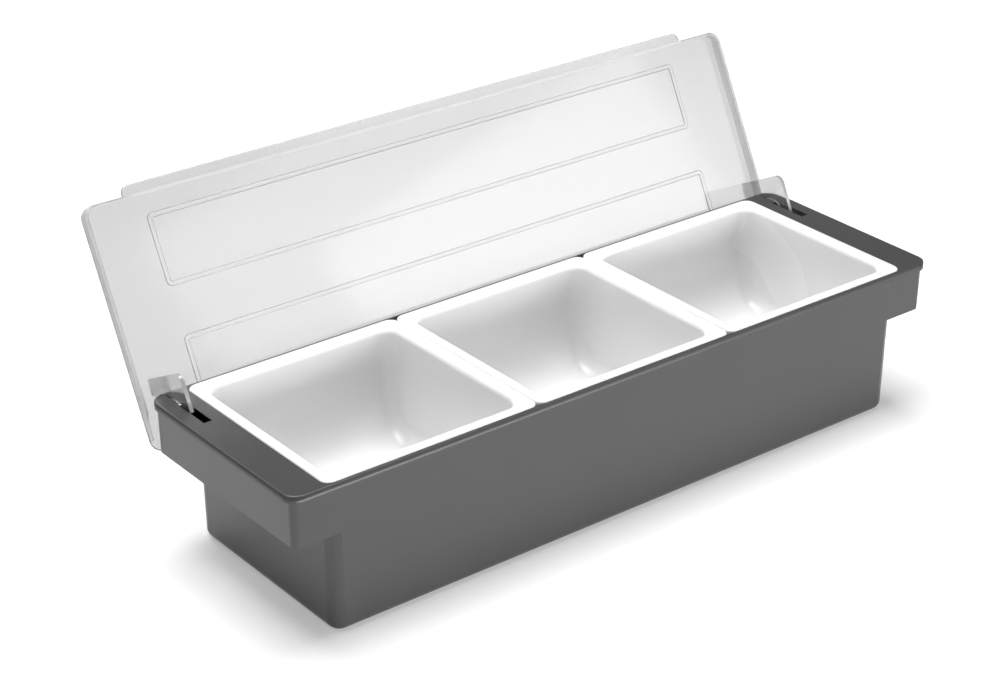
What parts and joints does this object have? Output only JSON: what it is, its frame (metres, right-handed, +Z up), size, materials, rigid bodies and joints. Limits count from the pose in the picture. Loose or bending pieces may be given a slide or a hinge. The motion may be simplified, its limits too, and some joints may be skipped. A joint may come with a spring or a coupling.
{
  "type": "condiment caddy with flip lid",
  "caption": "Serving caddy: a long dark tub with hand grips at its ends holds lift-out white food pans under one clear lid that flips up on hooked arms through the end decks.",
  "frame": {"origin": "centre of the tub's flat underside, on the table", "axes": "+X along the length of the caddy, +Y from the open front towards the hinged back, +Z up"},
  "size_m": [0.5, 0.2208, 0.2038],
  "materials": {
    "tub_plastic": "fine satin texture, dark grey ABS",
    "pan_plastic": "smooth white polypropylene, soft gloss",
    "clear_plastic": "polished clear polycarbonate"
  },
  "bodies": {
    "tub": {"base_tub": "tub_plastic"},
    "flip_lid": {"lid": "clear_plastic", "hinge_arm_left": "clear_plastic", "hinge_arm_right": "clear_plastic"},
    "pan_left": {"insert_left": "pan_plastic"},
    "pan_centre": {"insert_centre": "pan_plastic"},
    "pan_right": {"insert_right": "pan_plastic"}
  },
  "joints": [
    {"name": "lid_hinge", "type": "hinge", "parent": "tub", "child": "flip_lid", "pos_m": [0, 0.06065, 0.0868], "axis": [-1, 0, 0], "range_deg": [-117.27, 0]},
    {"name": "pan_left_lift", "type": "slide", "parent": "tub", "child": "pan_left", "axis": [0, 0, 1], "range_m": [0, 0.1]},
    {"name": "pan_centre_lift", "type": "slide", "parent": "tub", "child": "pan_centre", "axis": [0, 0, 1], "range_m": [0, 0.1]},
    {"name": "pan_right_lift", "type": "slide", "parent": "tub", "child": "pan_right", "axis": [0, 0, 1], "range_m": [0, 0.1]}
  ]
}
